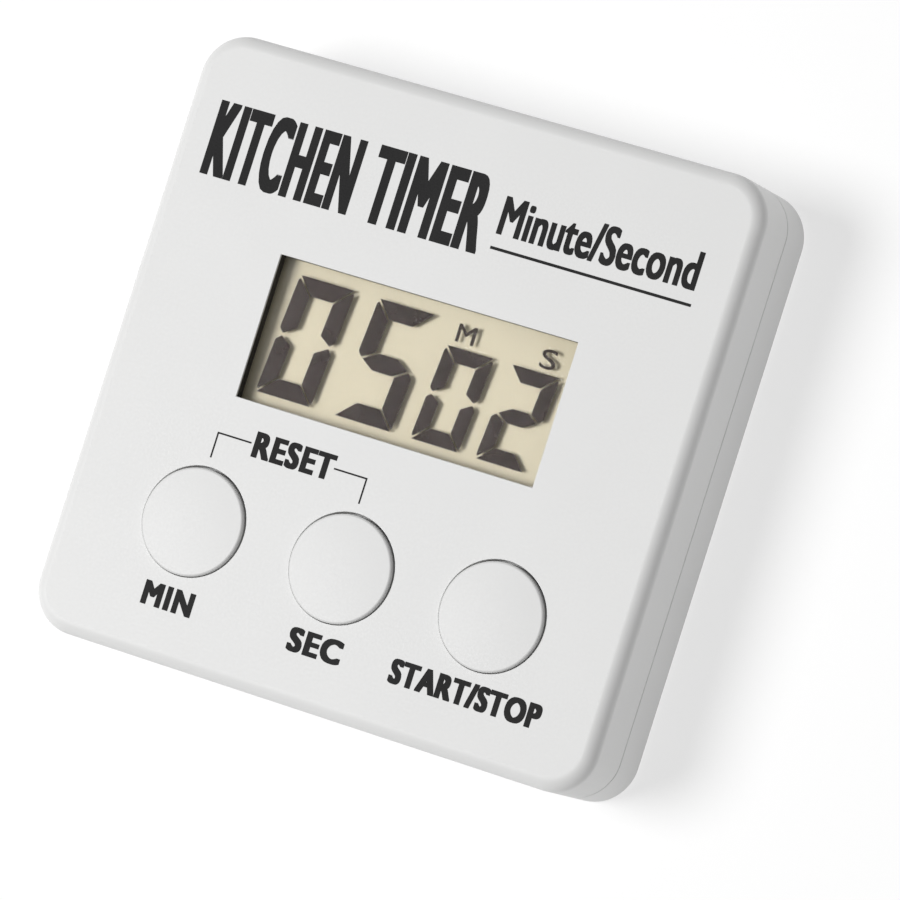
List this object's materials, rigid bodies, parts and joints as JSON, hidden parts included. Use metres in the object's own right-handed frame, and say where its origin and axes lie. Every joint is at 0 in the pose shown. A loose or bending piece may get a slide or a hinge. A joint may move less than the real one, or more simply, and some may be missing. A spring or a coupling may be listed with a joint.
{
  "type": "kitchen timer",
  "caption": "Flat square digital kitchen timer with display window, sprung push buttons, and on the back a fold-out stand, magnet and coin-slot battery cover.",
  "frame": {"origin": "middle of the back, on the plane the timer lies on", "axes": "+X to the right of the face, +Y to the top of the face, +Z out of the face; the timer lies on its back"},
  "size_m": [0.063, 0.063, 0.0141],
  "materials": {
    "white_plastic": "fine moulded texture, semi-matte",
    "button_plastic": "fine moulded texture, semi-matte",
    "black_plastic": "matte",
    "display_glass": "clear, glossy",
    "reflector": "satin cream",
    "grey_rubber": "matte",
    "black_rubber": "matte",
    "carbon": "matte",
    "board": "satin",
    "epoxy": "glossy",
    "steel": "plated",
    "nickel": "plated",
    "brass": "polished",
    "ceramic": "fired",
    "copper": "enamelled wire",
    "ferrite": "sintered, ground",
    "red_lead": "smooth",
    "black_lead": "smooth"
  },
  "bodies": {
    "case": {"front_case": "white_plastic", "rear_case": "white_plastic", "display_frame": "black_plastic", "display_glass": "display_glass", "display_reflector": "reflector", "contact_strip": "grey_rubber", "circuit_board": "board", "chip_blob": "epoxy", "quartz_crystal": "nickel", "boost_inductor": "copper", "transistor": "epoxy", "capacitor_1": "ceramic", "capacitor_2": "ceramic", "resistor_1": "epoxy", "resistor_2": "epoxy", "sounder_plate": "brass", "sounder_ceramic": "ceramic", "button_cell": "nickel", "positive_contact": "nickel", "negative_contact": "nickel", "sounder_lead_red": "red_lead", "battery_lead_red": "red_lead", "sounder_lead_black": "black_lead", "battery_lead_black": "black_lead", "magnet_bar": "ferrite", "min_dome": "black_rubber", "sec_dome": "black_rubber", "start_stop_dome": "black_rubber", "board_screw_1": "steel", "case_screw_1": "steel", "board_screw_2": "steel", "case_screw_2": "steel", "board_screw_3": "steel", "case_screw_3": "steel", "board_screw_4": "steel", "case_screw_4": "steel"},
    "min_button": {"min_button": "button_plastic", "min_contact_pill": "carbon"},
    "sec_button": {"sec_button": "button_plastic", "sec_contact_pill": "carbon"},
    "start_stop_button": {"start_stop_button": "button_plastic", "start_stop_contact_pill": "carbon"},
    "stand": {"stand_leg": "white_plastic"},
    "battery_cover": {"battery_cover": "white_plastic"}
  },
  "joints": [
    {"name": "min_press", "type": "slide", "parent": "case", "child": "min_button", "axis": [0, 0, -1], "range_m": [0, 0.0008], "stiffness_N_per_m": 600, "springref_m": -0.0002, "deforming": ["min_dome"]},
    {"name": "sec_press", "type": "slide", "parent": "case", "child": "sec_button", "axis": [0, 0, -1], "range_m": [0, 0.0008], "stiffness_N_per_m": 600, "springref_m": -0.0002, "deforming": ["sec_dome"]},
    {"name": "start_stop_press", "type": "slide", "parent": "case", "child": "start_stop_button", "axis": [0, 0, -1], "range_m": [0, 0.0008], "stiffness_N_per_m": 600, "springref_m": -0.0002, "deforming": ["start_stop_dome"]},
    {"name": "stand_fold", "type": "hinge", "parent": "case", "child": "stand", "pos_m": [0, 0.0005, 0.00155], "axis": [1, 0, 0], "range_deg": [0, 55]},
    {"name": "battery_cover_turn", "type": "hinge", "parent": "case", "child": "battery_cover", "pos_m": [0.0165, 0.019, 0], "axis": [0, 0, -1], "range_deg": [0, 50]}
  ]
}
